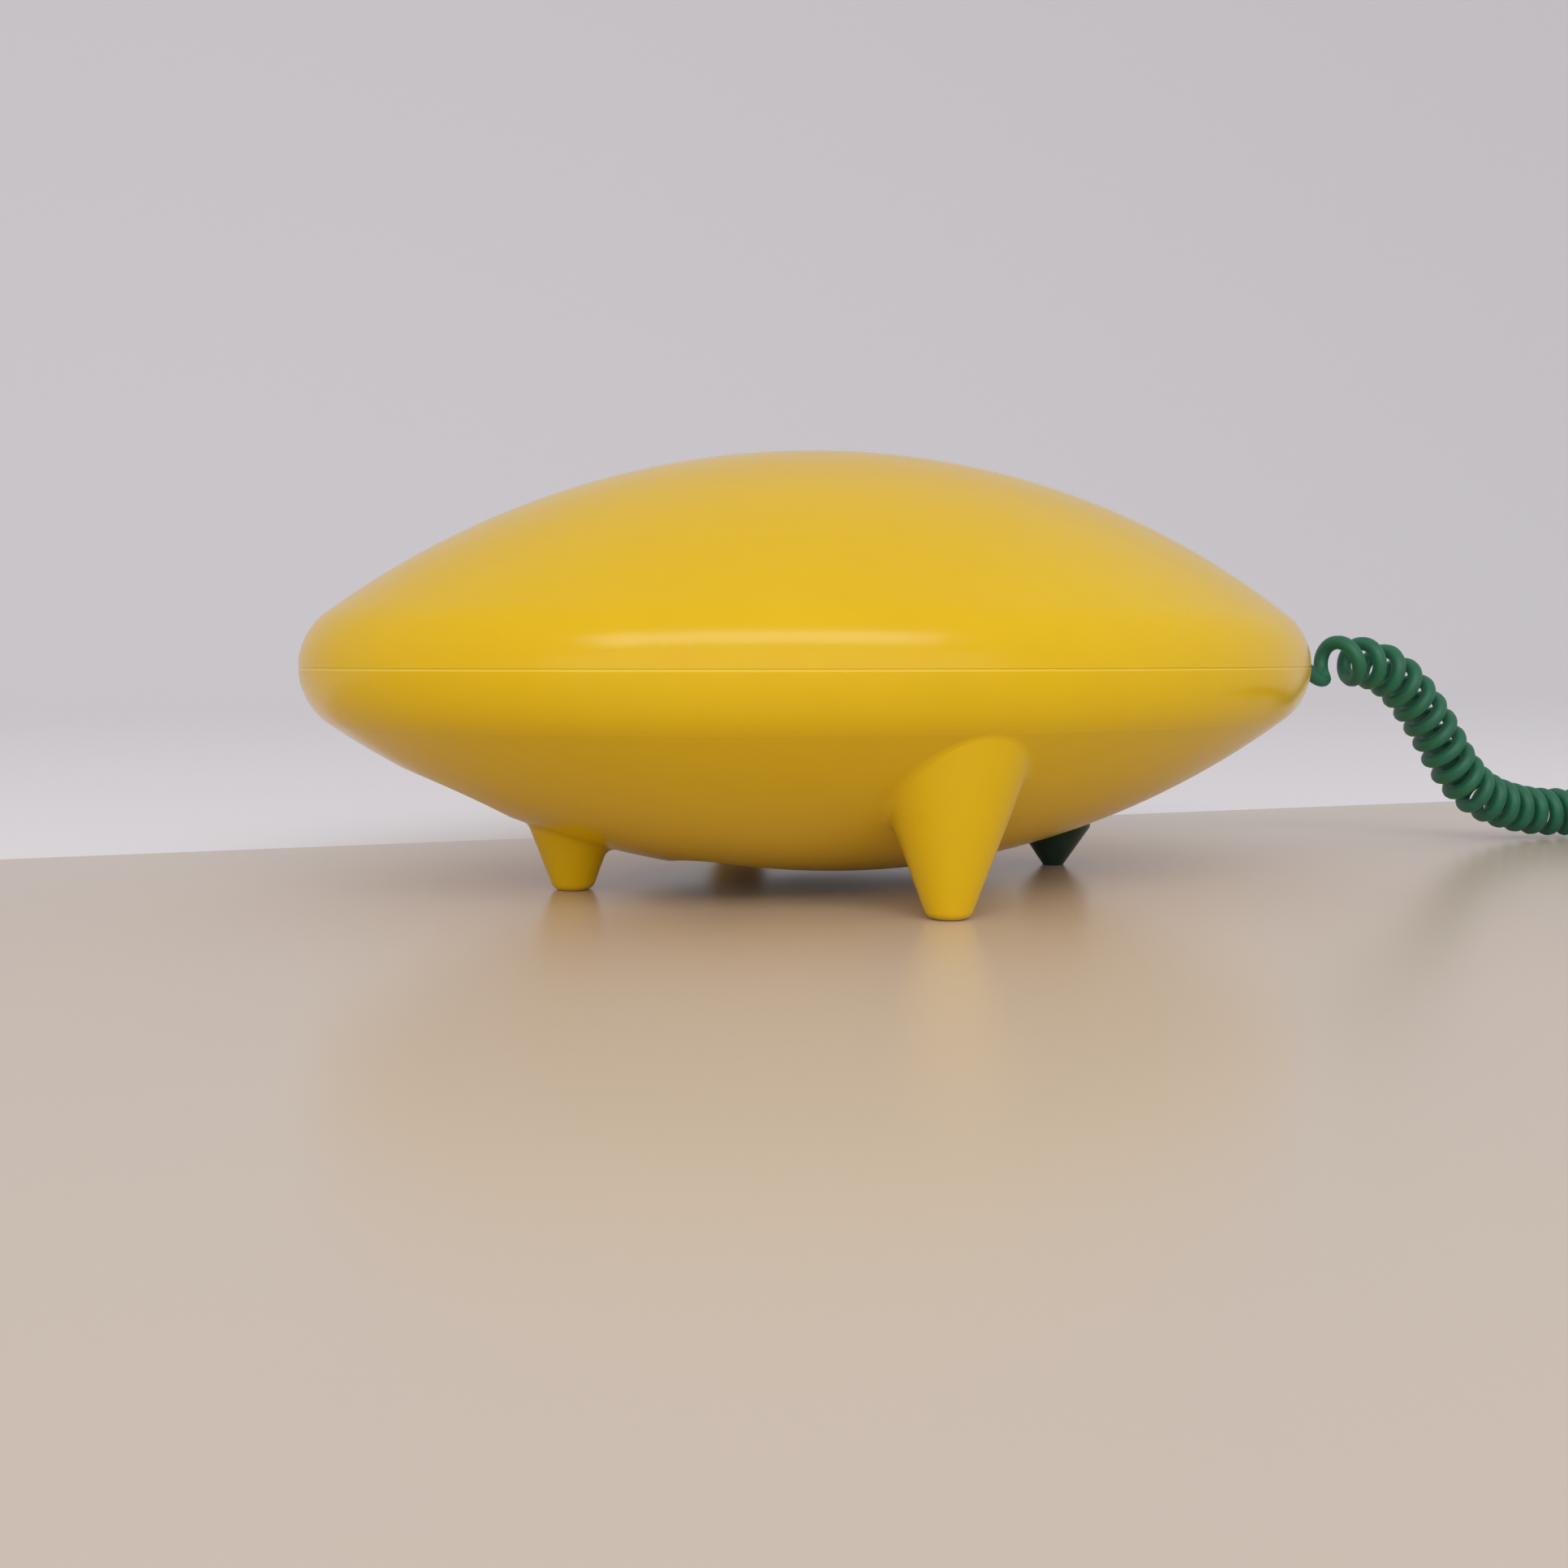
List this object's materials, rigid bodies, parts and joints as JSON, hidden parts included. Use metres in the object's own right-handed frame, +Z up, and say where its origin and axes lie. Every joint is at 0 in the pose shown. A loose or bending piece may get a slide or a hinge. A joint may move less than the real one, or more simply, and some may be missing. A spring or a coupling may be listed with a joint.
{
  "type": "one-piece telephone",
  "caption": "Lemon-shaped one-piece table telephone on cone feet, with keypad, earpiece and mouthpiece underneath, a sprung hook plunger as one foot, and a curly cord with a modular plug.",
  "frame": {"origin": "on the table, under the middle of the oval body", "axes": "+X towards the tip where the cord leaves, +Y away from the viewer, +Z up from the table"},
  "size_m": [0.3307, 0.1648, 0.0872],
  "materials": {
    "shell_yellow": "satin moulded",
    "key_green": "semi-gloss moulded",
    "cord_green": "smooth flexible jacket",
    "clear_plug": "clear moulded",
    "mat_rubber": "matte",
    "board_brown": "laminate",
    "black_moulding": "moulded",
    "inner_natural": "moulded",
    "bright_steel": "zinc plated",
    "ballast_iron": "blackened",
    "tin_can": "drawn can",
    "coil_copper": "taped winding"
  },
  "bodies": {
    "phone": {"upper_shell": "shell_yellow", "lower_shell": "shell_yellow", "dial_plate": "shell_yellow", "curly_cord": "cord_green", "cord_grommet": "cord_green", "line_plug": "clear_plug", "key_mat": "mat_rubber", "microphone_boot": "mat_rubber", "circuit_board": "board_brown", "dialler_chip": "black_moulding", "hook_switch": "black_moulding", "bell_switch": "black_moulding", "mode_switch": "black_moulding", "receiver_holder": "black_moulding", "ringer_disc": "black_moulding", "spring_cap": "inner_natural", "body_screws": "bright_steel", "board_screws": "bright_steel", "ballast_screws": "bright_steel", "hook_spring": "bright_steel", "ballast_bars": "ballast_iron", "receiver_capsule": "tin_can", "microphone_capsule": "tin_can", "capacitors": "tin_can", "line_coil": "coil_copper"},
    "hook_plunger": {"hook_plunger": "key_green"},
    "key_1": {"key_1": "key_green"},
    "key_2": {"key_2": "key_green"},
    "key_3": {"key_3": "key_green"},
    "key_4": {"key_4": "key_green"},
    "key_5": {"key_5": "key_green"},
    "key_6": {"key_6": "key_green"},
    "key_7": {"key_7": "key_green"},
    "key_8": {"key_8": "key_green"},
    "key_9": {"key_9": "key_green"},
    "key_star": {"key_star": "key_green"},
    "key_0": {"key_0": "key_green"},
    "key_hash": {"key_hash": "key_green"},
    "bell_knob": {"bell_knob": "key_green"},
    "mode_knob": {"mode_knob": "key_green"}
  },
  "joints": [
    {"name": "hook_travel", "type": "slide", "parent": "phone", "child": "hook_plunger", "axis": [0, 0, -1], "range_m": [0, 0.005], "stiffness_N_per_m": 20, "springref_m": 0.01, "deforming": ["hook_spring"]},
    {"name": "key_1_press", "type": "slide", "parent": "phone", "child": "key_1", "axis": [0, 0, 1], "range_m": [0, 0.0015], "stiffness_N_per_m": 300, "springref_m": -0.002},
    {"name": "key_2_press", "type": "slide", "parent": "phone", "child": "key_2", "axis": [0, 0, 1], "range_m": [0, 0.0015], "stiffness_N_per_m": 300, "springref_m": -0.002},
    {"name": "key_3_press", "type": "slide", "parent": "phone", "child": "key_3", "axis": [0, 0, 1], "range_m": [0, 0.0015], "stiffness_N_per_m": 300, "springref_m": -0.002},
    {"name": "key_4_press", "type": "slide", "parent": "phone", "child": "key_4", "axis": [0, 0, 1], "range_m": [0, 0.0015], "stiffness_N_per_m": 300, "springref_m": -0.002},
    {"name": "key_5_press", "type": "slide", "parent": "phone", "child": "key_5", "axis": [0, 0, 1], "range_m": [0, 0.0015], "stiffness_N_per_m": 300, "springref_m": -0.002},
    {"name": "key_6_press", "type": "slide", "parent": "phone", "child": "key_6", "axis": [0, 0, 1], "range_m": [0, 0.0015], "stiffness_N_per_m": 300, "springref_m": -0.002},
    {"name": "key_7_press", "type": "slide", "parent": "phone", "child": "key_7", "axis": [0, 0, 1], "range_m": [0, 0.0015], "stiffness_N_per_m": 300, "springref_m": -0.002},
    {"name": "key_8_press", "type": "slide", "parent": "phone", "child": "key_8", "axis": [0, 0, 1], "range_m": [0, 0.0015], "stiffness_N_per_m": 300, "springref_m": -0.002},
    {"name": "key_9_press", "type": "slide", "parent": "phone", "child": "key_9", "axis": [0, 0, 1], "range_m": [0, 0.0015], "stiffness_N_per_m": 300, "springref_m": -0.002},
    {"name": "key_star_press", "type": "slide", "parent": "phone", "child": "key_star", "axis": [0, 0, 1], "range_m": [0, 0.0015], "stiffness_N_per_m": 300, "springref_m": -0.002},
    {"name": "key_0_press", "type": "slide", "parent": "phone", "child": "key_0", "axis": [0, 0, 1], "range_m": [0, 0.0015], "stiffness_N_per_m": 300, "springref_m": -0.002},
    {"name": "key_hash_press", "type": "slide", "parent": "phone", "child": "key_hash", "axis": [0, 0, 1], "range_m": [0, 0.0015], "stiffness_N_per_m": 300, "springref_m": -0.002},
    {"name": "bell_knob_slide", "type": "slide", "parent": "phone", "child": "bell_knob", "axis": [0, 1, 0], "range_m": [0, 0.004]},
    {"name": "mode_knob_slide", "type": "slide", "parent": "phone", "child": "mode_knob", "axis": [0, 1, 0], "range_m": [0, 0.004]}
  ]
}
